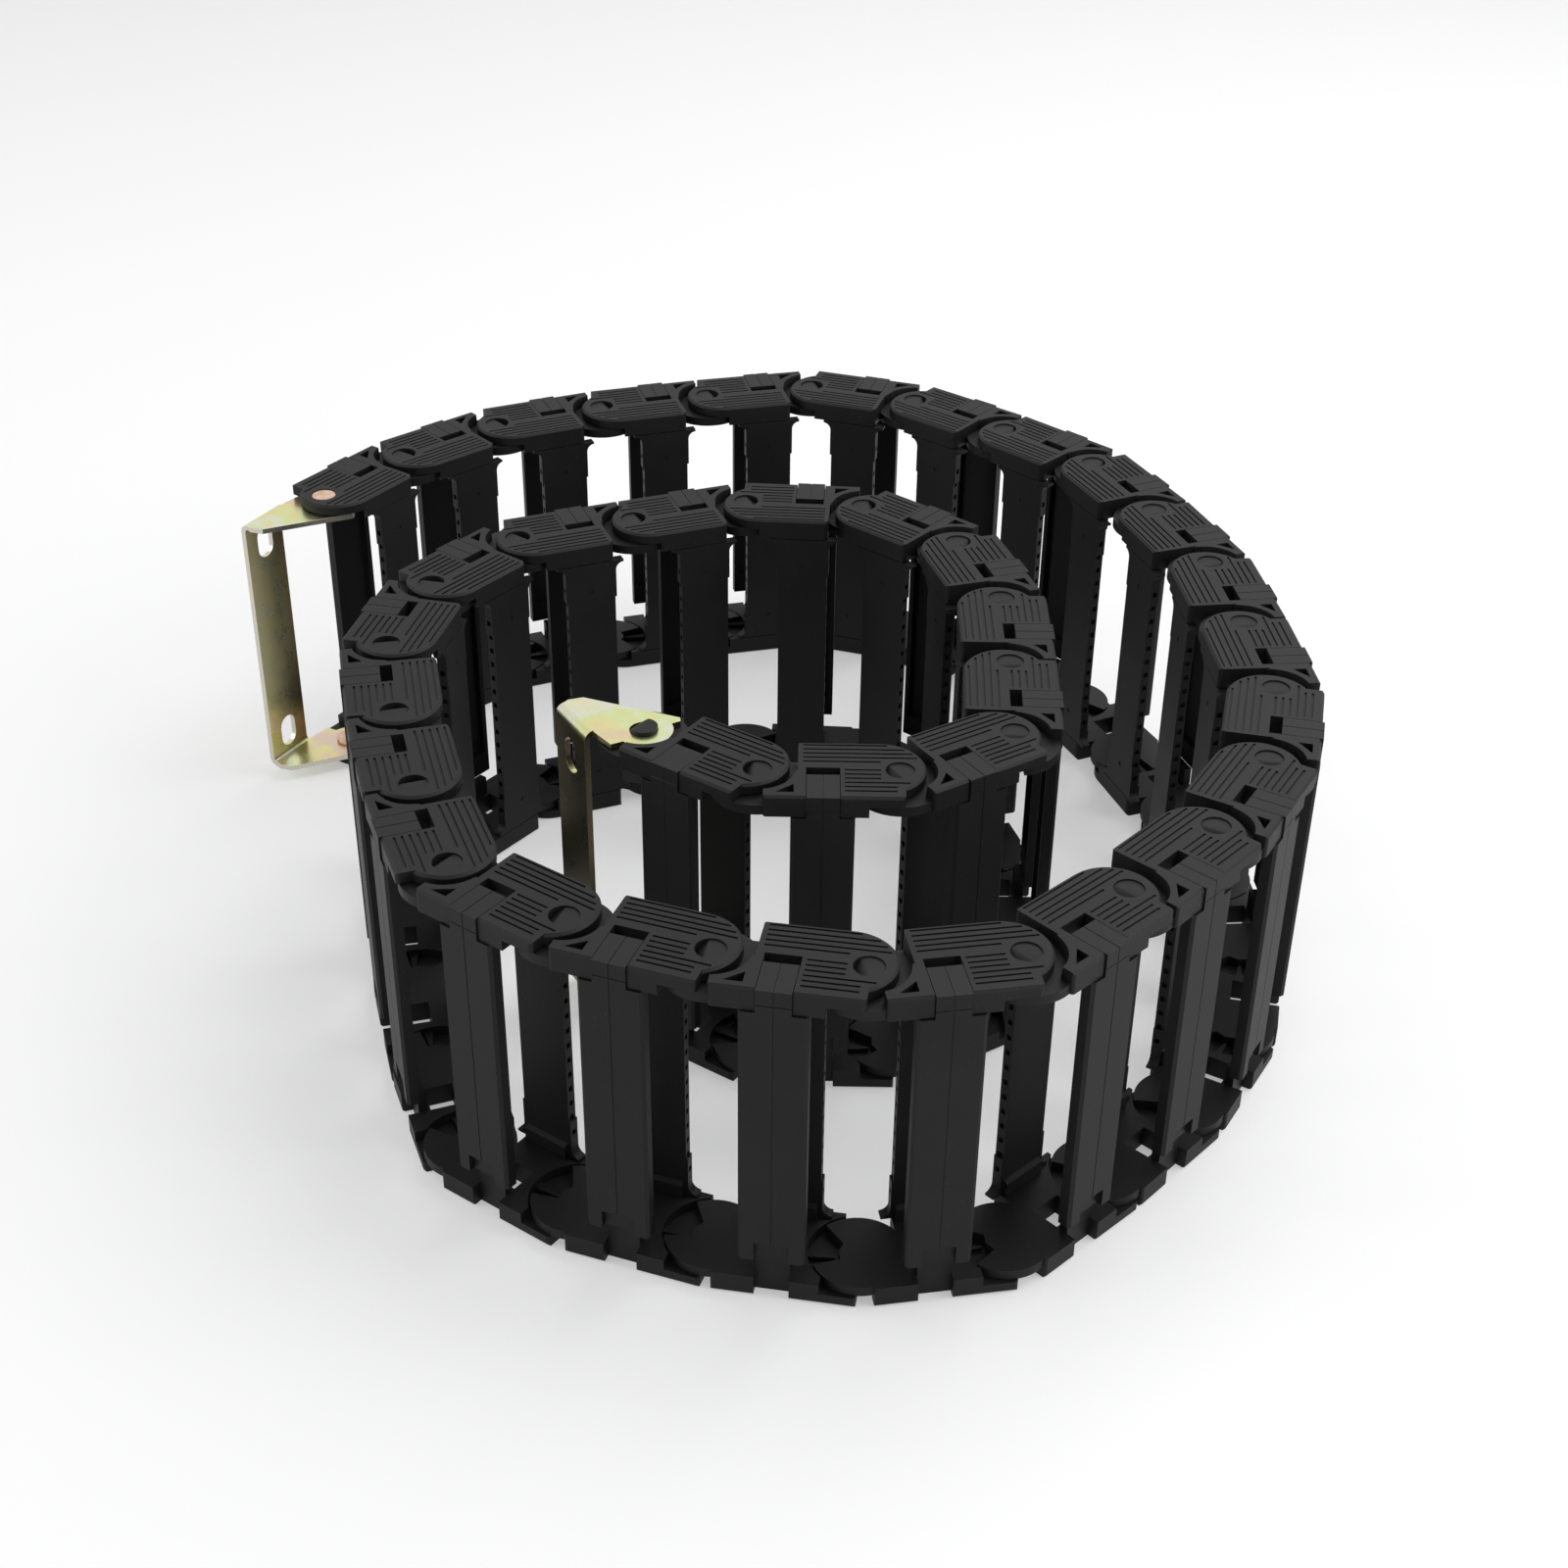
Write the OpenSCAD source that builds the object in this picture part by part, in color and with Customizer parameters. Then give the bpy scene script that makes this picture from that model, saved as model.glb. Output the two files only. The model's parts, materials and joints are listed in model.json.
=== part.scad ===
// Cable drag chain of 35 snap-together plastic links, coiled on its side, with a
// sheet steel mounting bracket at each end. Z is up and the hinge pins stand along Z.
// A link is drawn in its own frame: the origin is its head hinge, X runs along the link
// to its tail hinge, +Y faces the outside of the coil, and Z = 0 is its lower outer face.

/* [Chain] */

// Distance from one hinge pin to the next
pitch = 45; // [44:0.5:48]
// Width over the outer faces of the two plates
chain_width = 117; // [90:1:160]
// Height of a plate, from the inside to the outside of the bend
plate_height = 32; // [31:0.5:34]
// Thickness of the head layer that laps over the next link
cover_depth = 3.9; // [3.5:0.1:4.4]
// Full thickness of a plate
plate_depth = 7.6; // [7.2:0.1:9]
// Free space between the lapping layers of two links
layer_gap = 0.3; // [0.3:0.05:0.5]

/* [Hinge] */

// Diameter of the moulded hinge pins and of the rivets
pin_diameter = 9.2; // [8:0.1:10]
// Difference between the pin radius and the hole radius
pin_clearance = 0.08; // [0.04:0.01:0.1]
// Depth of a pin end below the outer face of the plates
pin_recess = 0.5; // [0.3:0.1:1]
// Radius of the round head of a plate
head_radius = 14.4; // [14:0.1:14.6]
// Radius of the tail disc under the head of the next link
disc_radius = 15; // [14:0.1:15]
// Radius of the hollow that the head turns in
socket_radius = 11.9; // [11.8:0.05:12.1]
// Distance from the hinge to the edge that stops the tightest bend
bend_stop = 12.8; // [12.8:0.05:13.2]
// Free space at the shoulder that stops the chain when it is straight
straight_gap = 0.65; // [0.5:0.05:1]

/* [Plate details] */

// Width of the window that holds the crossbar
window_width = 10.8; // [9:0.1:11]
// Width of the grooves in the outer faces
groove_width = 0.8; // [0.4:0.1:1.2]
// Depth of the grooves in the outer faces
groove_depth = 0.5; // [0.2:0.1:1]
// Spacing of the grooves
groove_spacing = 2.4; // [2:0.1:3]
// Size of the chamfer around the outer faces
edge_chamfer = 0.8; // [0.4:0.1:1.2]

/* [Crossbars] */

// Width of the outer crossbar along the chain
outer_bar_width = 20.2; // [18:0.1:21]
// Depth of the outer crossbar from its outer face to the edge of its flanges
outer_bar_depth = 4.3; // [3.5:0.1:5]
// Thickness of the walls of the outer crossbar
bar_wall = 2; // [1.5:0.1:2.5]
// Height of the outer crossbar above the edge of the plates
bar_rise = 0.6; // [0.3:0.1:1]
// Width of the inner crossbar along the chain
inner_bar_width = 18.4; // [16:0.1:19]
// Thickness of the inner crossbar between its feet
inner_bar_depth = 3.4; // [3:0.1:4]
// Length of the wider ends of the inner crossbar
wide_end_length = 15; // [12:0.5:18]
// Radius of the fillets between the inner crossbar and its plates
fillet_radius = 3; // [2:0.1:3.2]
// Height of the feet at the ends of the inner crossbar
foot_depth = 5; // [4.5:0.1:7]
// Length of the feet at the ends of the inner crossbar
foot_length = 5.5; // [4:0.5:8]

/* [Brackets] */

// Thickness of the bracket sheet
sheet = 2; // [1.5:0.1:2.2]
// Width of the mounting strip along the chain
strip_width = 20.7; // [19:0.1:22]
// Outside radius of the bends between the ears and the strip
bend_radius = 3.5; // [3:0.1:4]
// Width of the mounting slots
slot_width = 8.4; // [6:0.1:9]
// Length of the mounting slots
slot_length = 13; // [11:0.1:16]
// Distance from the outer face of the plates to the middle of each slot
slot_inset = 16; // [15:0.5:20]

/* [Hidden] */

$fn = 96;

// Whole degrees that each hinge is bent by, from the outer end of the coil inwards.
first_turn = [14, 18, 7, 3, 31, 21, 5, 22, 5, 13, 2, 17];
second_turn = [18, 12, 4, 34, 19, 10, 16, 34, 5, 4, 24];
third_turn = [25, 31, 1, 24, 37, 33, 17, 2, 55, 33, 34];
hinge_bends = concat(first_turn, second_turn, third_turn);
outer_bracket_bend = 6;
inner_bracket_bend = 24;
first_heading = 84;
link_count = len(hinge_bends) + 1;
coil_start = [-187.7, -5.4];

pin_radius = pin_diameter / 2;
hole_radius = pin_radius + pin_clearance;
half_height = plate_height / 2;
disc_depth = cover_depth + layer_gap;

// The head is a circle that touches the inner edge of the plate.
head_x = 6.1;
head_y = head_radius - half_height;
shoulder_x = -1.35;
shoulder_y = 8.5;
tail_block_x = pitch + shoulder_x - straight_gap;
neck_radius = disc_radius + 0.7;

// The tail disc is open on one side, between a finger and a slanted wall. A rib of the
// next link turns in the opening. Points are seen from the hinge.
opening_core = pin_radius + 1.4;
finger_root = [opening_core, 2];
wall_root = [opening_core - 2.2, -4.4];
finger_rise = 0.1;
wall_lean = 0.45;
rib_start = opening_core + 0.9;
rib_height = 1.7;
rib_tip = [0.9, 1.7];
rib_base = [-0.7, 2.7];
base_start_x = 9.9;

// The socket wall leans by this much, and leaves its round at this angle.
socket_lean = 0.5;
socket_turn = 15;
socket_point = socket_radius * [-cos(socket_turn), sin(socket_turn)];
stop_point = [-bend_stop, socket_point.y - (bend_stop + socket_point.x) / tan(socket_turn)];

window_x = 0.54 * pitch;
window_floor = -0.9;
tab_fit = 0.2;
tab_width = window_width - 2 * tab_fit;
tab_floor = 3.2;
lug_face = 12.5;
lug_height = 15;
notch_start = 15.3;
notch_end = 22;
bar_gap = 0.3;
seam_width = 0.3;
seam_depth = 0.2;

inner_bar_x = 0.51 * pitch;
end_step = 0.6;
flange = 0.8;
foot_slope = 0.8;
notch_spacing = 5.8;
notch_size = 2;
notch_depth = 0.9;

pin_slope = 35;
pocket_start = 5.8;
pocket_end = 11.5;
pocket_rise = 2.7;
pocket_drop = 7.4;

ear_depth = 4.6;
strip_face = 17.8;
strip_x = -18;
ear_radius = 9.7;
rivet_flange = 5.2;

plastic = [0.2, 0.2, 0.21];
zinc = [0.62, 0.6, 0.35];
copper = [0.78, 0.5, 0.4];

// Direction that link n points in, from its head hinge to its tail hinge.
function link_heading(n) = n == 1 ? first_heading : link_heading(n - 1) - hinge_bends[n - 2];

// Place of the hinge at the tail of link n. Hinge 0 is at the outer bracket.
function hinge_place(n) = n == 0
    ? coil_start
    : hinge_place(n - 1) + pitch * [cos(link_heading(n)), sin(link_heading(n))];

// A groove starts inside the rounded edge of the head, or beyond the pin hole.
function groove_start(y) =
    abs(y) < hole_radius + 1.2 ? head_x :
    y > shoulder_y + 1 ? shoulder_x + 2.5 :
    head_x - sqrt(pow(head_radius - 1.6, 2) - pow(y - head_y, 2));

// A groove ends before the window, or before the tail edge on the inner side.
function groove_end(y) =
    y > window_floor - 1 ? window_x - window_width / 2 - 1.3 : pitch - bend_stop - 1.6;

module at_link(n) {
    translate([hinge_place(n - 1).x, hinge_place(n - 1).y, 0])
        rotate([0, 0, link_heading(n)])
            children();
}

// Turns a shape drawn up from the lower face into its partner under the upper face.
module upper_side() {
    translate([0, 0, chain_width])
        mirror([0, 0, 1])
            children();
}

// The waste outside a rounded corner. The corner is at the origin and faces -X and +Y.
module corner_waste(radius) {
    translate([0, 0, -1])
        linear_extrude(plate_depth + 2)
            difference() {
                translate([-1, -radius])
                    square(radius + 1);
                translate([radius, -radius])
                    circle(radius);
            }
}

// A block along X with its two long edges chamfered at the outer face.
module chamfered_block(x_start, x_end, y_start, y_end, depth) {
    translate([x_start, 0, 0])
        rotate([90, 0, 90])
            linear_extrude(x_end - x_start)
                polygon([
                    [y_start + edge_chamfer, 0],
                    [y_end - edge_chamfer, 0],
                    [y_end, edge_chamfer],
                    [y_end, depth],
                    [y_start, depth],
                    [y_start, edge_chamfer]
                ]);
}

module head_layer() {
    translate([head_x, head_y, 0])
        cylinder(h = edge_chamfer, r1 = head_radius - edge_chamfer, r2 = head_radius);
    translate([head_x, head_y, edge_chamfer])
        cylinder(h = cover_depth - edge_chamfer, r = head_radius);
    chamfered_block(shoulder_x, window_x, shoulder_y, half_height, cover_depth);
}

module plate_body() {
    chamfered_block(head_x, pitch - bend_stop, -half_height, half_height, plate_depth);
    chamfered_block(pitch - bend_stop - 1, tail_block_x, 0, half_height, plate_depth);
}

// Room for the tail disc of the previous link, under the head layer.
module under_head_waste() {
    translate([0, 0, cover_depth])
        linear_extrude(plate_depth) {
            circle(neck_radius);
            translate([0, -3 * half_height])
                square([2, 2.5 * plate_height]);
            translate([shoulder_x - 5, 0])
                square([base_start_x - shoulder_x + 5, plate_height]);
        }
}

// Room for the head of the next link, above the tail disc.
module socket_waste() {
    translate([pitch, 0, 0]) {
        cylinder(h = disc_depth, r1 = socket_radius, r2 = socket_radius - socket_lean);
        translate([0, 0, -1])
            cylinder(h = 1, r = socket_radius);
        translate([0, 0, -1])
            linear_extrude(disc_depth + 1)
                polygon([[0, 0], socket_point, stop_point, [-bend_stop, -plate_height], [0, -plate_height]]);
    }
}

module tail_disc() {
    far = 2 * disc_radius;
    translate([pitch, 0, disc_depth])
        difference() {
            cylinder(h = plate_depth - disc_depth, r = disc_radius);
            translate([0, 0, -1])
                linear_extrude(plate_depth)
                    polygon([
                        finger_root,
                        finger_root + far * [1, finger_rise],
                        wall_root + far * [2, -1],
                        wall_root + far * [wall_lean, -1],
                        wall_root,
                        [opening_core, -1.5]
                    ]);
        }
}

// Rib under the head of a plate, in the opening of the tail disc that the head laps over.
module stop_rib() {
    rib_end = neck_radius + 1;
    translate([0, 0, cover_depth - 1])
        linear_extrude(rib_height + 1)
            polygon([
                [rib_start, rib_tip[0]],
                [rib_start, rib_tip[1]],
                [rib_end, rib_base[1]],
                [rib_end, rib_base[0]]
            ]);
}

// The end of a pin is cut away on the side that faces away from its own link.
module hinge_pin() {
    translate([pitch, 0, 0])
        difference() {
            translate([0, 0, pin_recess])
                cylinder(h = disc_depth + 1 - pin_recess, r = pin_radius);
            translate([pin_radius * 0.3, -pin_diameter, pin_recess])
                rotate([0, -pin_slope, 0])
                    translate([0, 0, -pin_diameter])
                        cube([pin_diameter, 2 * pin_diameter, pin_diameter]);
        }
}

module face_grooves() {
    translate([0, 0, -1])
        linear_extrude(groove_depth + 1)
            for (row = [-6 : 6]) {
                y = row * groove_spacing + 0.2;
                if (row != -1 && y > 1.6 - half_height && y < half_height - 1.6)
                    translate([groove_start(y), y - groove_width / 2])
                        square([groove_end(y) - groove_start(y), groove_width]);
            }
}

module triangle_pocket() {
    translate([pitch, half_height, -1])
        linear_extrude(cover_depth)
            polygon([
                [-pocket_start, -pocket_rise],
                [-pocket_end, -pocket_rise],
                [-pocket_end, -pocket_drop]
            ]);
}

module window() {
    translate([window_x - window_width / 2, window_floor, -1])
        cube([window_width, plate_height, plate_depth + 2]);
}

// One side plate of a link, with its outer face at Z = 0. The first link has no rib,
// because the ear of the outer bracket is in its place.
module plate(rib = true) {
    difference() {
        union() {
            difference() {
                union() {
                    head_layer();
                    plate_body();
                }
                under_head_waste();
                socket_waste();
            }
            tail_disc();
            if (rib)
                stop_rib();
        }
        translate([0, 0, -1])
            cylinder(h = plate_depth, r = hole_radius);
        translate([shoulder_x, half_height, 0])
            corner_waste(1.4);
        translate([pitch - bend_stop, -half_height, 0])
            rotate([0, 0, 180])
                corner_waste(1.8);
        translate([tail_block_x, half_height, 0])
            mirror([1, 0, 0])
                corner_waste(1);
        window();
        face_grooves();
        triangle_pocket();
    }
    hinge_pin();
}

// Upright lug in the window of the lower plate that holds the foot of the outer crossbar.
module crossbar_lug() {
    translate([window_x - window_width / 2 - 0.5, lug_face - 4, 0])
        cube([window_width + 1, 4, plate_depth]);
    translate([window_x - tab_width / 2, lug_face - 3, 0])
        cube([tab_width, 3, lug_height]);
}

module lower_plate(rib = true) {
    plate(rib);
    crossbar_lug();
}

module upper_plate(rib = true) {
    upper_side()
        plate(rib);
}

module outer_crossbar() {
    face = half_height + bar_rise;
    bar_top = chain_width - plate_depth - bar_gap;
    difference() {
        union() {
            translate([window_x - outer_bar_width / 2, face - outer_bar_depth, notch_start])
                cube([outer_bar_width, outer_bar_depth, bar_top - notch_start]);
            translate([window_x - tab_width / 2, tab_floor, bar_top - 3])
                cube([tab_width, face - tab_floor, chain_width - bar_top + 3]);
        }
        // Hollow back of the bar
        translate([window_x - outer_bar_width / 2 + bar_wall, 0, notch_end + bar_wall])
            cube([outer_bar_width - 2 * bar_wall, face - bar_wall, bar_top - notch_end - bar_wall - 3]);
        // Notch over the lug
        translate([window_x - tab_width / 2, face - bar_wall, notch_start - 1])
            cube([tab_width, bar_wall + 1, notch_end - notch_start + 1]);
        // Seam down the middle of the bar and over the end of the tab
        translate([window_x - seam_width / 2, face - seam_depth, notch_end - 1])
            cube([seam_width, seam_depth + 1, chain_width]);
        translate([window_x - seam_width / 2, tab_floor - 1, chain_width - seam_depth])
            cube([seam_width, face, seam_depth + 1]);
        // Step between the tab and the neck
        translate([window_x - tab_width, face - seam_depth, chain_width - plate_depth + 2.2])
            cube([2 * tab_width, seam_depth + 1, seam_width]);
        // Bevels on the long edges
        for (side = [-1, 1])
            translate([window_x + side * outer_bar_width / 2, face, chain_width / 2])
                rotate([0, 0, 45])
                    cube([1.4, 1.4, chain_width], center = true);
    }
}

module inner_crossbar() {
    bar_start = plate_depth + bar_gap;
    bar_length = chain_width - 2 * bar_start;
    notches = floor((bar_length / 2 - foot_length) / notch_spacing);
    difference() {
        union() {
            translate([inner_bar_x - inner_bar_width / 2, -half_height, bar_start])
                cube([inner_bar_width, inner_bar_depth, bar_length]);
            for (end = [0, 1])
                translate([0, 0, end * chain_width])
                    mirror([0, 0, end]) {
                        crossbar_end(bar_start);
                        crossbar_foot(bar_start);
                    }
        }
        // Square notches down the middle of both narrow sides
        for (side = [-1, 1], row = [-notches : notches])
            translate([
                inner_bar_x + side * (inner_bar_width / 2 + end_step),
                -half_height + inner_bar_depth / 2,
                chain_width / 2 + row * notch_spacing
            ])
                cube([2 * (notch_depth + end_step), inner_bar_depth / 2, notch_size], center = true);
        // Ejector marks
        for (end = [-1, 1])
            translate([window_x - 1.5, -half_height, chain_width / 2 + end * (chain_width / 2 - 19)])
                rotate([90, 0, 0])
                    cylinder(h = 0.6, r = 1, center = true);
    }
}

// Wider end of the inner crossbar, with a fillet on each side down to its flange.
module crossbar_end(bar_start) {
    end_width = inner_bar_width / 2 + end_step;
    flange_width = end_width + fillet_radius;
    translate([inner_bar_x, -half_height + inner_bar_depth, bar_start])
        rotate([90, 0, 0])
            linear_extrude(inner_bar_depth)
                difference() {
                    union() {
                        translate([-end_width, 0])
                            square([2 * end_width, wide_end_length]);
                        translate([-flange_width, 0])
                            square([2 * flange_width, flange + fillet_radius]);
                    }
                    for (side = [-1, 1])
                        translate([side * flange_width, flange + fillet_radius])
                            circle(fillet_radius);
                }
}

// Raised foot of the inner crossbar, with its free end sloped.
module crossbar_foot(bar_start) {
    translate([inner_bar_x - inner_bar_width / 2 + 1, -half_height, bar_start])
        rotate([90, 0, 90])
            linear_extrude(inner_bar_width - 2)
                polygon([
                    [inner_bar_depth / 2, 0],
                    [foot_depth, 0],
                    [foot_depth, foot_length - foot_slope],
                    [inner_bar_depth, foot_length],
                    [inner_bar_depth / 2, foot_length]
                ]);
}

// A link as one node. Its plates and crossbars stay separate solids.
module whole_link(n) {
    color(plastic)
        at_link(n) {
            upper_plate();
            lower_plate();
            outer_crossbar();
            inner_crossbar();
        }
}

// Flat outline of a bracket ear. The pin is at the origin and the chain is at +X.
module ear_outline() {
    difference() {
        union() {
            circle(ear_radius);
            polygon([
                [1.4, -9.7],
                [1.4, -12.9],
                [-0.5, -13.8],
                [-27.9, 7.6],
                [-29.1, 12.7],
                [strip_x - strip_width / 2, strip_face - bend_radius],
                [strip_x + strip_width / 2, strip_face - bend_radius],
                [strip_x + strip_width / 2 + 0.5, 14.7],
                [2.7, 13.5],
                [2.9, 9.5],
                [0, 0]
            ]);
        }
        circle(hole_radius);
    }
}

// Outline of the folded strip from its end, grown inwards by an inset.
module fold_outline(depth, inset) {
    radius = bend_radius - inset;
    height = chain_width - 2 * depth;
    translate([strip_face - bend_radius, depth + bend_radius]) {
        circle(radius);
        translate([0, height - 2 * bend_radius])
            circle(radius);
        square([radius, height - 2 * bend_radius]);
    }
    translate([0, depth + inset])
        square([strip_face - bend_radius, height - 2 * inset]);
}

// The bracket is one folded sheet. Its ears start at this depth below the plate faces.
module bracket(depth) {
    difference() {
        union() {
            for (z = [depth, chain_width - depth - sheet])
                translate([0, 0, z])
                    linear_extrude(sheet)
                        ear_outline();
            translate([strip_x - strip_width / 2, 0, 0])
                rotate([90, 0, 90])
                    linear_extrude(strip_width)
                        difference() {
                            fold_outline(depth, 0);
                            fold_outline(depth, sheet);
                            translate([-1, -1])
                                square([strip_face - bend_radius, chain_width + 2]);
                        }
        }
        for (z = [slot_inset, chain_width - slot_inset])
            translate([strip_x, strip_face + 1, z])
                rotate([90, 0, 0])
                    linear_extrude(sheet + 2)
                        mounting_slot();
    }
}

module mounting_slot() {
    straight = slot_length - slot_width;
    for (end = [-1, 1])
        translate([0, end * straight / 2])
            circle(slot_width / 2);
    translate([-slot_width / 2, -straight / 2])
        square([slot_width, straight]);
}

module outer_bracket() {
    color(zinc)
        translate([coil_start.x, coil_start.y, 0])
            rotate([0, 0, first_heading + outer_bracket_bend])
                bracket(ear_depth);
}

module inner_bracket() {
    color(zinc)
        translate([hinge_place(link_count).x, hinge_place(link_count).y, 0])
            rotate([0, 0, link_heading(link_count) - inner_bracket_bend])
                mirror([1, 0, 0])
                    bracket(disc_depth - layer_gap - sheet);
}

// A rivet holds the head of the first link to each ear of the outer bracket.
module rivet() {
    translate([0, 0, 0.3])
        cylinder(h = ear_depth + sheet, r = pin_radius);
    translate([0, 0, ear_depth + sheet + 0.05])
        cylinder(h = 1.4, r = rivet_flange);
}

module outer_rivets() {
    color(copper)
        translate([coil_start.x, coil_start.y, 0]) {
            rivet();
            upper_side()
                rivet();
        }
}

color(plastic) at_link(1) upper_plate(false);  // link_01_upper_plate
color(plastic) at_link(1) lower_plate(false);  // link_01_lower_plate
color(plastic) at_link(1) outer_crossbar();  // link_01_outer_crossbar
color(plastic) at_link(1) inner_crossbar();  // link_01_inner_crossbar
whole_link(2);  // link_02
whole_link(3);  // link_03
whole_link(4);  // link_04
whole_link(5);  // link_05
whole_link(6);  // link_06
whole_link(7);  // link_07
whole_link(8);  // link_08
whole_link(9);  // link_09
whole_link(10);  // link_10
whole_link(11);  // link_11
whole_link(12);  // link_12
whole_link(13);  // link_13
whole_link(14);  // link_14
whole_link(15);  // link_15
whole_link(16);  // link_16
whole_link(17);  // link_17
whole_link(18);  // link_18
whole_link(19);  // link_19
whole_link(20);  // link_20
whole_link(21);  // link_21
whole_link(22);  // link_22
whole_link(23);  // link_23
whole_link(24);  // link_24
whole_link(25);  // link_25
whole_link(26);  // link_26
whole_link(27);  // link_27
whole_link(28);  // link_28
whole_link(29);  // link_29
whole_link(30);  // link_30
whole_link(31);  // link_31
whole_link(32);  // link_32
whole_link(33);  // link_33
whole_link(34);  // link_34
color(plastic) at_link(35) upper_plate();  // link_35_upper_plate
color(plastic) at_link(35) lower_plate();  // link_35_lower_plate
color(plastic) at_link(35) outer_crossbar();  // link_35_outer_crossbar
color(plastic) at_link(35) inner_crossbar();  // link_35_inner_crossbar
outer_bracket();
outer_rivets();
inner_bracket();
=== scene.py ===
"""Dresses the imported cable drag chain: moulded nylon links, plated end brackets and rivets."""

import json
import logging
import math
from dataclasses import dataclass, field
from enum import Enum
from typing import Any, Optional, Sequence, Union

import bmesh
import bpy
from mathutils import Matrix, Vector


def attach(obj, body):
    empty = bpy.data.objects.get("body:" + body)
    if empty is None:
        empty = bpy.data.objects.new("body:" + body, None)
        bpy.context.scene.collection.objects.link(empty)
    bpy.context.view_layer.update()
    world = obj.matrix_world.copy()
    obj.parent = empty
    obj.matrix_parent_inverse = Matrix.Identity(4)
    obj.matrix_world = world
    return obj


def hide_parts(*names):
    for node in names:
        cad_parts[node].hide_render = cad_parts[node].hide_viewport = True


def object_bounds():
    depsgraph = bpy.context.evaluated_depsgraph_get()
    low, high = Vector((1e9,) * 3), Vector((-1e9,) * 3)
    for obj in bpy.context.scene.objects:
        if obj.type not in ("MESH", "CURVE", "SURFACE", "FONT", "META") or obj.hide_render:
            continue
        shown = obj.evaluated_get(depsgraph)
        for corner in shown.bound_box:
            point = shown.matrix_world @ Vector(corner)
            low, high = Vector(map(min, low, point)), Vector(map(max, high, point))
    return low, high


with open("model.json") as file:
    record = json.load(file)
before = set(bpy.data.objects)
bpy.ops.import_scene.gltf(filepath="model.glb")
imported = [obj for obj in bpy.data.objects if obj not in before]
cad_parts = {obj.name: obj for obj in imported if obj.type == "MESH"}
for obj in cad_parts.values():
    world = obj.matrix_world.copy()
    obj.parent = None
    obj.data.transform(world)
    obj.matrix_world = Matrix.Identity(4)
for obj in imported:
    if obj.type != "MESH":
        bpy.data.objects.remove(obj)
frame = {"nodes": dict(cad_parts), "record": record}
CAD_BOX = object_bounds()

LOG = logging.getLogger("drag_chain")
MM = 0.001
WHITE = (1.0, 1.0, 1.0, 1.0)

Number = Union[int, float]
Colour = tuple[float, float, float]


class Slot(Enum):
    """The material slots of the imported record."""

    NYLON = "black_nylon"
    ZINC = "zinc_plated_steel"
    COPPER = "coppered_rivet"


class Tag(Enum):
    """Mesh attributes that the finishes read."""

    EDGE = "softened_edge"
    CUT = "cut_edge"
    STRIP = "mounting_strip"
    ACROSS = "across_strip"


class Value:
    """A number that flows through a shader, with arithmetic that adds Math nodes."""

    def __init__(self, graph: "Graph", socket: bpy.types.NodeSocket) -> None:
        """Wraps an output socket.

        Args:
            graph: The graph that new nodes go into.
            socket: The output that carries the number.
        """
        self.graph = graph
        self.socket = socket

    def _math(self, operation: str, first: Any, second: Any = 0.0) -> "Value":
        """Adds one Math node.

        Args:
            operation: The node's operation.
            first: The first operand.
            second: The second operand.

        Returns:
            The node's result.
        """
        node = self.graph.node("ShaderNodeMath", {"operation": operation}, {0: first, 1: second})
        return Value(self.graph, node.outputs[0])

    def __add__(self, other: Any) -> "Value":
        """Sum."""
        return self._math("ADD", self, other)

    __radd__ = __add__

    def __sub__(self, other: Any) -> "Value":
        """Difference."""
        return self._math("SUBTRACT", self, other)

    def __rsub__(self, other: Any) -> "Value":
        """Difference from a plain number."""
        return self._math("SUBTRACT", other, self)

    def __mul__(self, other: Any) -> "Value":
        """Product."""
        return self._math("MULTIPLY", self, other)

    __rmul__ = __mul__

    def __abs__(self) -> "Value":
        """Size without sign."""
        return self._math("ABSOLUTE", self)

    def clamped(self) -> "Value":
        """The number held between 0 and 1."""
        return self._math("MINIMUM", self._math("MAXIMUM", self, 0.0), 1.0)

    def larger(self, other: Any) -> "Value":
        """The larger of two numbers."""
        return self._math("MAXIMUM", self, other)


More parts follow.
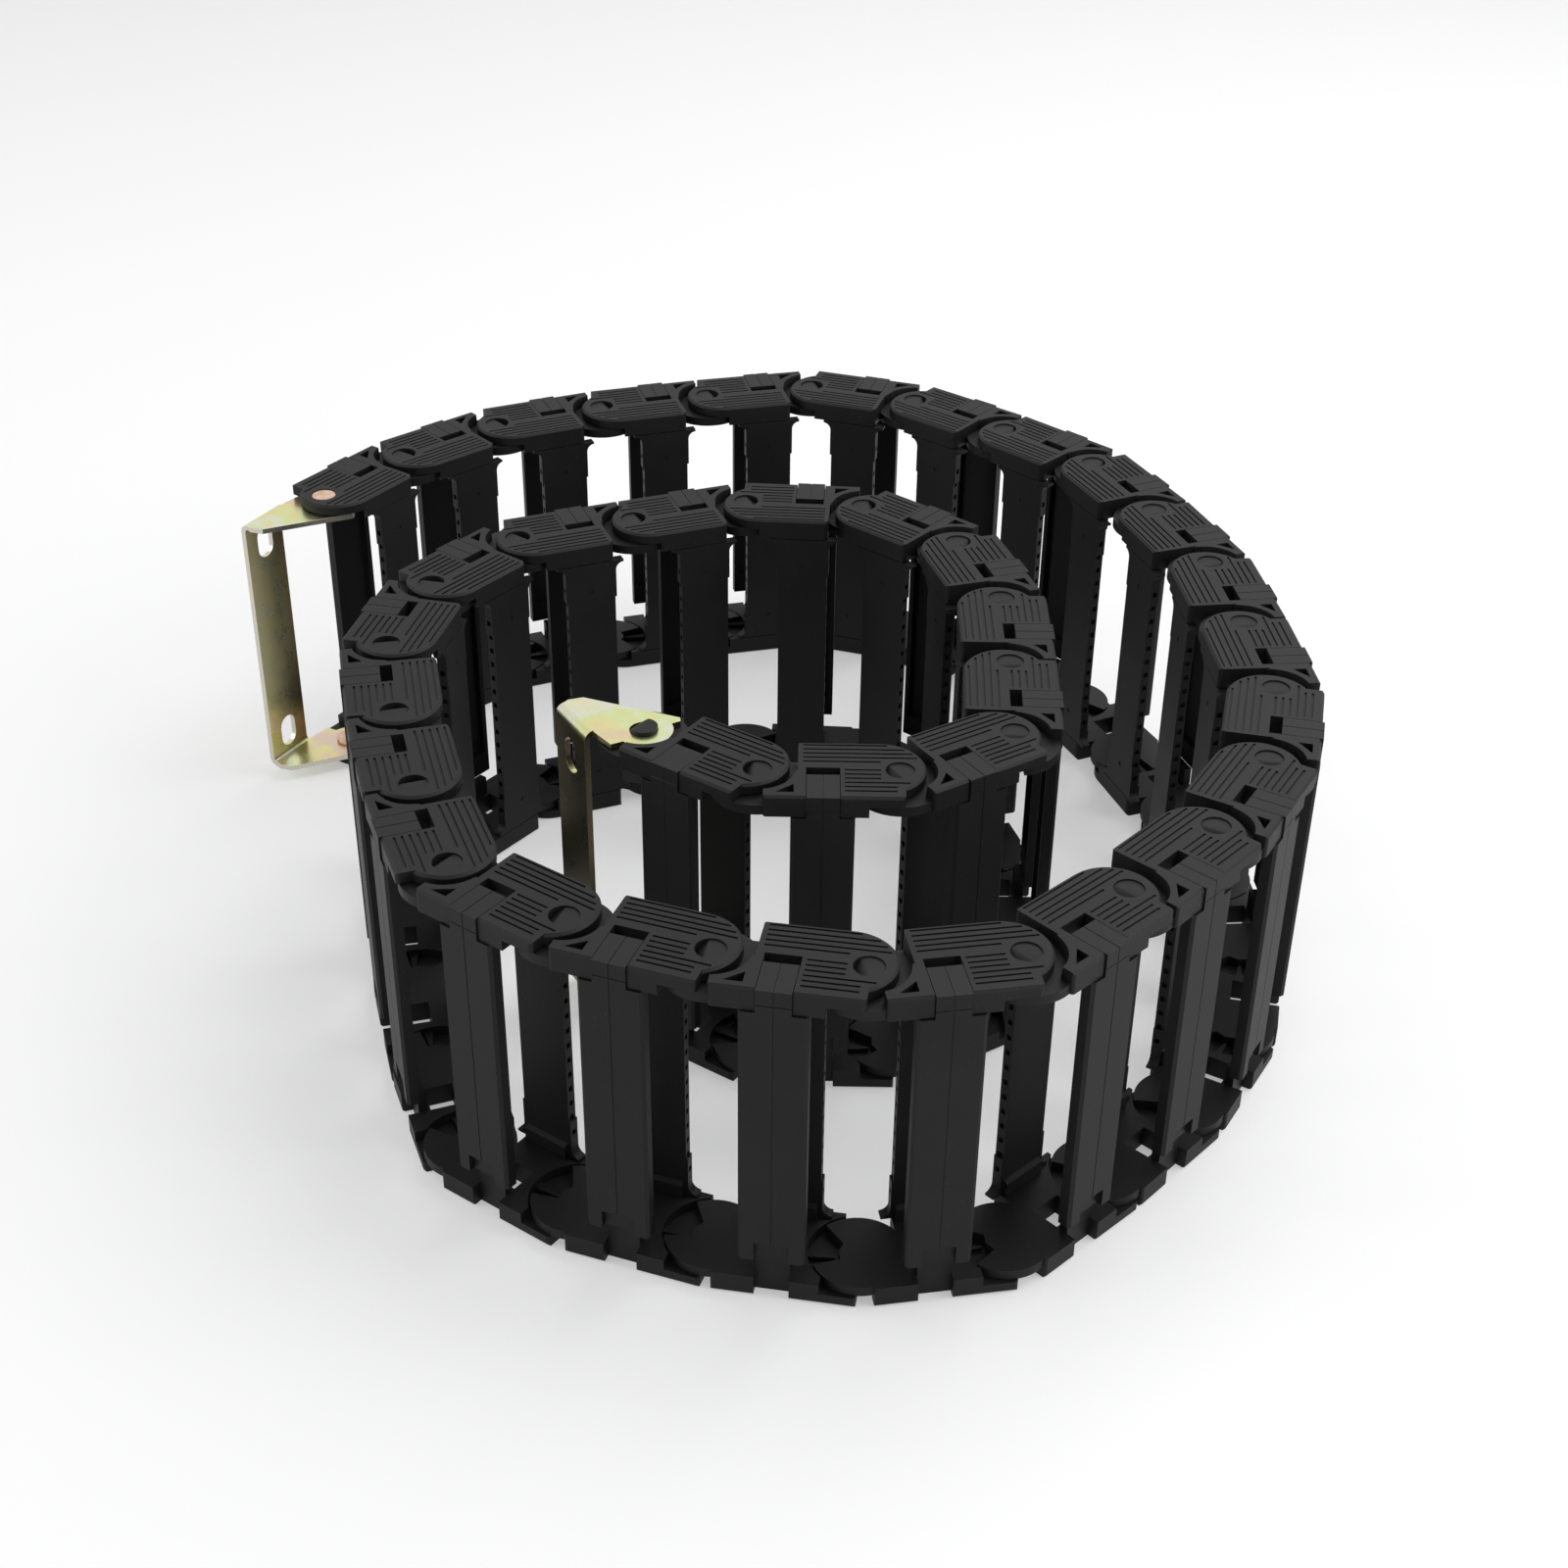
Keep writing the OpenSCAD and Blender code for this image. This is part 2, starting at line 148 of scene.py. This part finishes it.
class Graph:
    """The nodes of a material or a world, built from Python."""

    def __init__(self, name: str, world: bool = False) -> None:
        """Starts an empty graph.

        Args:
            name: The name of the material or world that it belongs to.
            world: Whether it belongs to a world.
        """
        self.owner = (bpy.data.worlds if world else bpy.data.materials).new(name)
        self.owner.use_nodes = True
        self.tree = self.owner.node_tree
        self.tree.nodes.clear()

    def node(
        self,
        kind: str,
        settings: Optional[dict[str, Any]] = None,
        inputs: Optional[dict[Union[int, str], Any]] = None,
    ) -> bpy.types.Node:
        """Adds a node.

        Args:
            kind: The node's type name.
            settings: Properties that are set first. "stops" fills a colour ramp.
            inputs: Values or links for its input sockets.

        Returns:
            The new node.
        """
        made = self.tree.nodes.new(kind)
        for key, value in (settings or {}).items():
            if key == "stops":
                self._fill_ramp(made.color_ramp, value)
            else:
                setattr(made, key, value)
        for key, value in (inputs or {}).items():
            socket = made.inputs[key]
            if isinstance(value, Value):
                value = value.socket
            if isinstance(value, bpy.types.NodeSocket):
                self.tree.links.new(value, socket)
            else:
                socket.default_value = value
        return made

    @staticmethod
    def _fill_ramp(ramp: bpy.types.ColorRamp, stops: Sequence[tuple[float, Colour]]) -> None:
        """Sets a colour ramp's stops.

        Args:
            ramp: The ramp.
            stops: Pairs of place and colour, from low to high.
        """
        while len(ramp.elements) < len(stops):
            ramp.elements.new(1.0)
        for element, (place, colour) in zip(ramp.elements, stops):
            element.position = place
            element.color = (*colour, 1.0)

    def place(self, stretch: Colour = (1.0, 1.0, 1.0), turn: float = 0.0) -> bpy.types.NodeSocket:
        """Object coordinates, stretched and turned about Z.

        Args:
            stretch: Scale along each axis.
            turn: Angle about Z in radians.

        Returns:
            The vector socket.
        """
        source = self.node("ShaderNodeTexCoord").outputs["Object"]
        mapping = self.node(
            "ShaderNodeMapping",
            {},
            {"Vector": source, "Rotation": (0.0, 0.0, turn), "Scale": stretch},
        )
        return mapping.outputs[0]

    def level(self) -> Value:
        """Height in metres in object coordinates."""
        source = self.node("ShaderNodeTexCoord").outputs["Object"]
        return Value(self, self.node("ShaderNodeSeparateXYZ", {}, {0: source}).outputs["Z"])

    def seen(self) -> Value:
        """Tells rays that look at a surface from rays that carry its light.

        Returns:
            1 for the eye's rays, in reflections and through glass too, and 0 for light.
        """
        rays = self.node("ShaderNodeLightPath").outputs
        plain = Value(self, rays["Is Camera Ray"])
        return plain.larger(Value(self, rays["Is Glossy Ray"])).larger(
            Value(self, rays["Is Transmission Ray"])
        )

    def noise(self, where: bpy.types.NodeSocket, scale: float, detail: float = 2.0) -> Value:
        """Smooth noise between 0 and 1.

        Args:
            where: The vector that it is read at.
            scale: Cycles per metre.
            detail: Octaves added.

        Returns:
            The noise.
        """
        made = self.node(
            "ShaderNodeTexNoise", {}, {"Vector": where, "Scale": scale, "Detail": detail}
        )
        return Value(self, made.outputs[0])

    def ramp(self, factor: Value, stops: Sequence[tuple[float, Colour]]) -> bpy.types.NodeSocket:
        """A colour picked from stops by a number."""
        return self.node("ShaderNodeValToRGB", {"stops": stops}, {0: factor}).outputs[0]

    def between(self, factor: Value, low: float, high: float) -> Value:
        """The factor spread from 0 at low to 1 at high, and held there."""
        return ((factor - low) * (1.0 / (high - low))).clamped()

    def mix(self, factor: Value, first: Any, second: Any) -> bpy.types.NodeSocket:
        """Two colours mixed by a factor.

        Args:
            factor: 0 for the first colour and 1 for the second.
            first: A colour or colour socket.
            second: A colour or colour socket.

        Returns:
            The mixed colour.
        """
        made = self.node("ShaderNodeMix", {"data_type": "RGBA"}, {0: factor})
        for index, value in ((6, first), (7, second)):
            if isinstance(value, bpy.types.NodeSocket):
                self.tree.links.new(value, made.inputs[index])
            else:
                made.inputs[index].default_value = (*value, 1.0)
        return made.outputs[2]

    def tagged(self, tag: Tag) -> Value:
        """An attribute of the piece's mesh, 0 where it has none."""
        found = self.node("ShaderNodeAttribute", {"attribute_name": tag.value})
        return Value(self, found.outputs["Fac"])

    def bump(self, height: Value, distance: float, strength: float) -> bpy.types.NodeSocket:
        """A normal bent by a height.

        Args:
            height: The height, from 0 to 1.
            distance: Metres that a height of 1 stands for.
            strength: Share of the effect.

        Returns:
            The normal.
        """
        made = self.node(
            "ShaderNodeBump", {}, {"Height": height, "Distance": distance, "Strength": strength}
        )
        return made.outputs[0]

    def finish_surface(self, **inputs: Any) -> bpy.types.Material:
        """Ends the graph in a Principled surface.

        Args:
            inputs: Principled inputs, with underscores for spaces.

        Returns:
            The material.
        """
        named = {key.replace("_", " "): value for key, value in inputs.items()}
        surface = self.node("ShaderNodeBsdfPrincipled", {}, named)
        self.node("ShaderNodeOutputMaterial", {}, {"Surface": surface.outputs[0]})
        return self.owner


@dataclass(frozen=True)
class MouldedNylon:
    """Black glass-filled nylon, satin, with a fine moulded grain, dust, and lighter edges that are
    partly wear and partly a painted highlight.
    """

    dark: Colour = (0.0038, 0.0039, 0.0038)
    light: Colour = (0.0075, 0.0077, 0.0075)
    # Edge colour: partly wear, partly a painted highlight of the edge sheen.
    rubbed_edge_and_highlight: Colour = (0.0270, 0.0272, 0.0268)
    dust: Colour = (0.1100, 0.1080, 0.1040)
    cloud_scale: float = 38.0
    flow_stretch: Colour = (60.0, 60.0, 900.0)
    grain_scale: float = 2600.0
    speck_scale: float = 1400.0
    patch_scale: float = 55.0
    roughness: float = 0.44
    relief: float = 0.06 * MM
    ior: float = 1.30

    def build(self) -> bpy.types.Material:
        """Makes the material.

        Returns:
            The material.
        """
        graph = Graph("Moulded nylon")
        here = graph.place()
        clouds = graph.noise(here, self.cloud_scale, 3.0)
        flow = graph.noise(graph.place(self.flow_stretch), 1.0, 2.0)
        grain = graph.noise(here, self.grain_scale, 2.0)
        specks = graph.between(graph.noise(here, self.speck_scale, 1.0), 0.72, 0.80)
        patches = graph.between(graph.noise(here, self.patch_scale, 2.0), 0.45, 0.70)
        colour = graph.mix(graph.between(clouds, 0.30, 0.70), self.dark, self.light)
        # Lighter colour on the rounded edges: partly wear, partly a painted highlight.
        colour = graph.mix(graph.tagged(Tag.EDGE) * (0.35 + clouds * 0.5), colour, self.rubbed_edge_and_highlight)
        colour = graph.mix(specks * patches * 0.5, colour, self.dust)
        rough = self.roughness + clouds * 0.12 + grain * 0.06 - graph.tagged(Tag.EDGE) * 0.08
        height = grain * 0.7 + flow * 0.3
        return graph.finish_surface(
            Base_Color=colour,
            Roughness=rough,
            Normal=graph.bump(height, self.relief, 0.55),
            IOR=self.ior,
        )


@dataclass(frozen=True)
class ChromateZinc:
    """Yellow chromate over zinc plate, with a faint rainbow, rolling marks and bare cut edges;
    upright faces take a darker strip film that is partly real film colour and partly painted
    reflection.
    """

    gold: Colour = (0.70, 0.63, 0.30)
    green: Colour = (0.62, 0.68, 0.33)
    rose: Colour = (0.66, 0.52, 0.42)
    pale: Colour = (0.66, 0.68, 0.56)
    teal: Colour = (0.50, 0.48, 0.30)
    moss: Colour = (0.60, 0.52, 0.26)
    bronze: Colour = (0.42, 0.28, 0.12)
    silver: Colour = (0.60, 0.58, 0.52)
    # Below 1 this darkens the strip as painted shade.
    strip_painted_shade_factor: float = 1.0
    drift_scale: float = 42.0
    stain_scale: float = 150.0
    speckle_scale: float = 1500.0
    rolling_stretch: Colour = (1400.0, 1400.0, 40.0)
    fold_start: float = 30.0 * MM
    fold_end: float = 58.0 * MM
    roughness: float = 0.22
    relief: float = 0.03 * MM

    def build(self) -> bpy.types.Material:
        """Makes the material.

        Returns:
            The material.
        """
        graph = Graph("Chromate zinc plate")
        here = graph.place()
        drift = graph.noise(here, self.drift_scale, 2.0)
        stain = graph.noise(here, self.stain_scale, 2.0)
        speckle = graph.noise(here, self.speckle_scale, 2.0)
        rolled = graph.noise(graph.place(self.rolling_stretch), 1.0, 2.0)
        ear = graph.ramp(
            drift * 0.7 + stain * 0.3,
            (
                (0.36, self.rose),
                (0.44, self.gold),
                (0.51, self.green),
                (0.58, self.pale),
                (0.66, self.gold),
            ),
        )
        side = graph.tagged(Tag.ACROSS).clamped()
        middle = (CAD_BOX[0].z + CAD_BOX[1].z) / 2
        fold = graph.between(abs(graph.level() - middle), self.fold_start, self.fold_end)
        edge_film = graph.between(
            side * side * 0.7 + fold * 0.5 + drift * 0.5 + stain * 0.3, 0.55, 1.25
        )
        # The strip's film colours are scaled here; a factor below 1 is painted shade.
        teal, moss, bronze = (
            tuple(part * self.strip_painted_shade_factor for part in colour)
            for colour in (self.teal, self.moss, self.bronze)
        )
        centre = graph.mix(graph.between(stain, 0.30, 0.70), teal, moss)
        strip = graph.mix(edge_film, centre, bronze)
        # Upright faces take the strip film and level faces the ear film: partly real film colour,
        # partly painted reflection.
        film = graph.mix(graph.tagged(Tag.STRIP), ear, strip)
        film = graph.mix(graph.between(speckle, 0.58, 0.75) * 0.25, film, self.silver)
        bare = (graph.tagged(Tag.CUT) * 0.85).larger(graph.tagged(Tag.EDGE) * 0.55)
        colour = graph.mix(bare, film, self.silver)
        rough = self.roughness + stain * 0.10 + rolled * 0.03
        height = rolled * 0.4 + speckle * 0.6
        return graph.finish_surface(
            Base_Color=colour,
            Metallic=1.0,
            Roughness=rough,
            Normal=graph.bump(height, self.relief, 0.10),
        )


@dataclass(frozen=True)
class CopperWash:
    """Copper-washed steel of a flat rivet end, with hammer dapples and a dull rim."""

    bright: Colour = (0.74, 0.53, 0.40)
    dull: Colour = (0.56, 0.38, 0.27)
    stain_scale: float = 320.0
    dapple_scale: float = 900.0
    roughness: float = 0.30
    relief: float = 0.04 * MM

    def build(self) -> bpy.types.Material:
        """Makes the material.

        Returns:
            The material.
        """
        graph = Graph("Copper wash")
        here = graph.place()
        stain = graph.noise(here, self.stain_scale, 3.0)
        dapple = graph.noise(here, self.dapple_scale, 1.0)
        colour = graph.mix(graph.between(stain, 0.35, 0.68), self.bright, self.dull)
        colour = graph.mix(graph.tagged(Tag.EDGE) * 0.5, colour, self.dull)
        return graph.finish_surface(
            Base_Color=colour,
            Metallic=1.0,
            Roughness=self.roughness + stain * 0.18,
            Normal=graph.bump(dapple, self.relief, 0.4),
        )


@dataclass(frozen=True)
class PaleFloor:
    """A white table top that the camera sees almost white, and that keeps soft shadows."""

    colour: Colour = (0.94, 0.94, 0.95)
    glow: float = 0.36

    def build(self) -> bpy.types.Material:
        """Makes the material.

        Returns:
            The material.
        """
        graph = Graph("Pale floor")
        matt = graph.node("ShaderNodeBsdfDiffuse", {}, {"Color": (*self.colour, 1.0)})
        bright = graph.node("ShaderNodeEmission", {}, {"Color": WHITE, "Strength": 1.0})
        mixed = graph.node(
            "ShaderNodeMixShader",
            {},
            {0: graph.seen() * self.glow, 1: matt.outputs[0], 2: bright.outputs[0]},
        )
        graph.node("ShaderNodeOutputMaterial", {}, {"Surface": mixed.outputs[0]})
        return graph.owner


@dataclass
class Softener:
    """Copies a CAD node's mesh, joins its loose triangles and rounds its sharp edges."""

    radius: float = 0.35 * MM
    sharp: float = math.radians(35.0)
    join: float = 0.002 * MM
    flat: float = math.radians(0.6)
    crease: float = math.radians(40.0)

    def copy(self, node: str, name: str) -> bpy.types.Object:
        """Makes the softened copy of one node.

        Args:
            node: The CAD node.
            name: The new piece's name.

        Returns:
            The new object, at the origin.
        """
        shape = bmesh.new()
        shape.from_mesh(frame["nodes"][node].data)
        bmesh.ops.remove_doubles(shape, verts=shape.verts, dist=self.join)
        bmesh.ops.dissolve_limit(
            shape,
            angle_limit=self.flat,
            use_dissolve_boundaries=False,
            verts=shape.verts,
            edges=shape.edges,
            delimit=set(),
        )
        layer = shape.faces.layers.float.new(Tag.EDGE.value)
        edges = [
            edge
            for edge in shape.edges
            if len(edge.link_faces) == 2 and edge.calc_face_angle(0.0) > self.sharp
        ]
        rounded = bmesh.ops.bevel(
            shape,
            geom=edges,
            offset=self.radius,
            offset_type="OFFSET",
            segments=2,
            profile=0.5,
            affect="EDGES",
            material=-1,
            clamp_overlap=True,
        )
        for face in rounded["faces"]:
            face[layer] = 1.0
        for face in shape.faces:
            face.smooth = True
        mesh = bpy.data.meshes.new(name)
        shape.to_mesh(mesh)
        shape.free()
        mesh.set_sharp_from_angle(angle=self.crease)
        piece = bpy.data.objects.new(name, mesh)
        bpy.context.scene.collection.objects.link(piece)
        even = piece.modifiers.new("Even shading", "WEIGHTED_NORMAL")
        even.mode = "FACE_AREA"
        even.keep_sharp = True
        return piece


def dress(
    piece: bpy.types.Object,
    body: str,
    nodes: Sequence[str],
    finish: bpy.types.Material,
) -> bpy.types.Object:
    """Gives a piece its finish, hides the CAD nodes that it replaces and hangs it on its body.

    Args:
        piece: The new object.
        body: The body that it moves with.
        nodes: The CAD nodes that it replaces.
        finish: Its material.

    Returns:
        The same object.
    """
    piece.data.materials.clear()
    piece.data.materials.append(finish)
    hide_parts(*nodes)
    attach(piece, body)
    LOG.info("%s rides on %s, %d faces", piece.name, body, len(piece.data.polygons))
    return piece


@dataclass
class LinkRun:
    """Every moulded link of the chain, each with its plates and crossbars."""

    finish: bpy.types.Material
    softener: Softener = field(default_factory=Softener)

    def build(self) -> list[bpy.types.Object]:
        """Makes and dresses a softened piece for each link node.

        Returns:
            The pieces.
        """
        made = []
        for body, nodes in sorted(frame["record"]["behaviour"]["bodies"].items()):
            if not body.startswith("link"):
                continue
            for node in nodes:
                piece = self.softener.copy(node, "moulded_" + node)
                made.append(dress(piece, body, [node], self.finish))
        return made


@dataclass
class EndBracket:
    """One folded steel bracket, with its cut edges and its strip marked for the finish."""

    name: str
    mount: str
    finish: bpy.types.Material
    half_strip: float = 10.35 * MM
    strip_reach: float = 3.0 * MM
    sideways: float = 0.25
    upright: float = 0.2
    softener: Softener = field(default_factory=lambda: Softener(radius=0.18 * MM))

    def build(self) -> bpy.types.Object:
        """Makes and dresses the bracket.

        Returns:
            The piece.
        """
        piece = self.softener.copy(self.name, "folded_" + self.name)
        self._mark(piece.data)
        return dress(piece, self.name, [self.name], self.finish)

    def _mark(self, mesh: bpy.types.Mesh) -> None:
        """Marks the faces that the shear left bare, and the strip with its two edges.

        Args:
            mesh: The bracket's mesh.
        """
        mount = next(m for m in frame["record"]["mounts"] if m["name"] == self.mount)
        middle = Vector(mount["pos_m"])
        outward = Vector(mount["axis"]).normalized()
        along = outward.cross(Vector((0.0, 0.0, 1.0))).normalized()
        cut = mesh.attributes.new(Tag.CUT.value, "FLOAT", "FACE")
        strip = mesh.attributes.new(Tag.STRIP.value, "FLOAT", "FACE")
        for index, face in enumerate(mesh.polygons):
            level = abs(face.normal.z)
            on_side = abs(face.normal.dot(along)) > self.sideways
            behind = (face.center - middle).dot(outward) < -self.strip_reach
            on_ear = level < self.upright and behind
            cut.data[index].value = 1.0 if on_side or on_ear else 0.0
            # Upright faces count as strip and level ones as ear; the strip's darker film is partly
            # real and partly painted reflection.
            strip.data[index].value = 1.0 - level
        across = mesh.attributes.new(Tag.ACROSS.value, "FLOAT", "POINT")
        for index, vertex in enumerate(mesh.vertices):
            across.data[index].value = (vertex.co - middle).dot(along) / self.half_strip


@dataclass
class RivetPair:
    """The two flat rivets that hold the outer bracket."""

    finish: bpy.types.Material
    softener: Softener = field(default_factory=lambda: Softener(radius=0.3 * MM))

    def build(self) -> bpy.types.Object:
        """Makes and dresses the rivets.

        Returns:
            The piece.
        """
        piece = self.softener.copy("outer_rivets", "flat_rivets")
        return dress(piece, "outer_bracket", ["outer_rivets"], self.finish)


@dataclass(frozen=True)
class Softbox:
    """One studio lamp: a square panel that faces the middle of the chain."""

    name: str
    place: Colour
    width: float
    watts: float

    def build(self, aim: Vector) -> None:
        """Hangs the lamp.

        Args:
            aim: The point that it faces.
        """
        lamp = bpy.data.lights.new(self.name, "AREA")
        lamp.shape = "SQUARE"
        lamp.size = self.width
        lamp.energy = self.watts
        holder = bpy.data.objects.new(self.name, lamp)
        holder.location = self.place
        holder.rotation_mode = "QUATERNION"
        holder.rotation_quaternion = (aim - Vector(self.place)).to_track_quat("-Z", "Y")
        bpy.context.scene.collection.objects.link(holder)


@dataclass
class Studio:
    """The camera, lamps, floor and white surroundings."""

    eye: Colour = (0.3519, -0.6348, 0.5159)
    heading: float = 118.263
    depression: float = 33.130
    roll: float = 0.699
    lens: float = 53.85
    ambient: float = 0.44
    floor_width: float = 14.0
    floor_gap: float = 0.05 * MM
    softboxes: tuple[Softbox, ...] = (
        Softbox("Top softbox", (0.35, 0.85, 1.60), 1.5, 18.0),
        Softbox("Right softbox", (1.35, 0.25, 0.85), 1.1, 10.0),
        Softbox("Left softbox", (-1.30, -0.90, 0.90), 1.1, 9.0),
        Softbox("Front softbox", (0.80, -1.50, 1.10), 1.1, 2.0),
    )

    def build(self) -> None:
        """Sets up everything round the chain."""
        scene = bpy.context.scene
        scene.view_settings.view_transform = "Standard"
        self._camera(scene)
        self._world(scene)
        self._floor()
        low, high = CAD_BOX
        aim = (low + high) / 2
        for softbox in self.softboxes:
            softbox.build(aim)

    def _camera(self, scene: bpy.types.Scene) -> None:
        """Places the camera.

        Args:
            scene: The scene that it serves.
        """
        lens = bpy.data.cameras.new("Camera")
        lens.lens = self.lens
        lens.sensor_width = 36.0
        lens.clip_end = 50.0
        camera = bpy.data.objects.new("Camera", lens)
        turn = (
            Matrix.Rotation(math.radians(self.heading - 90.0), 4, "Z")
            @ Matrix.Rotation(math.radians(90.0 - self.depression), 4, "X")
            @ Matrix.Rotation(math.radians(self.roll), 4, "Z")
        )
        camera.matrix_world = Matrix.Translation(self.eye) @ turn
        scene.collection.objects.link(camera)
        scene.camera = camera

    def _world(self, scene: bpy.types.Scene) -> None:
        """Makes the surroundings white to the eye and mild as a light.

        Args:
            scene: The scene that they belong to.
        """
        graph = Graph("Studio", world=True)
        strength = graph.seen() * (1.0 - self.ambient) + self.ambient
        sky = graph.node("ShaderNodeBackground", {}, {"Color": WHITE, "Strength": strength})
        graph.node("ShaderNodeOutputWorld", {}, {"Surface": sky.outputs[0]})
        scene.world = graph.owner

    def _floor(self) -> None:
        """Lays the floor just under the chain."""
        shape = bmesh.new()
        bmesh.ops.create_grid(shape, x_segments=1, y_segments=1, size=self.floor_width / 2)
        bmesh.ops.translate(shape, verts=shape.verts, vec=(0.0, 0.0, CAD_BOX[0].z - self.floor_gap))
        mesh = bpy.data.meshes.new("Floor")
        shape.to_mesh(mesh)
        shape.free()
        mesh.materials.append(PaleFloor().build())
        floor = bpy.data.objects.new("Floor", mesh)
        bpy.context.scene.collection.objects.link(floor)


def main() -> None:
    """Builds the chain and its studio."""
    logging.basicConfig(level=logging.INFO, format="%(message)s")
    Studio().build()
    nylon = MouldedNylon().build()
    unshaded_zinc = ChromateZinc().build()
    # The inner bracket has the same plating; its darker strip and darker cut edges are painted
    # shade, standing in for the dark links that it reflects.
    reflection_shaded_zinc = ChromateZinc(silver=(0.36, 0.30, 0.20), strip_painted_shade_factor=0.27).build()
    links = LinkRun(nylon).build()
    LOG.info("%d link pieces", len(links))
    EndBracket("outer_bracket", "outer_bracket_slots", unshaded_zinc).build()
    EndBracket("inner_bracket", "inner_bracket_slots", reflection_shaded_zinc).build()
    RivetPair(CopperWash().build()).build()


if __name__ == "__main__":
    main()
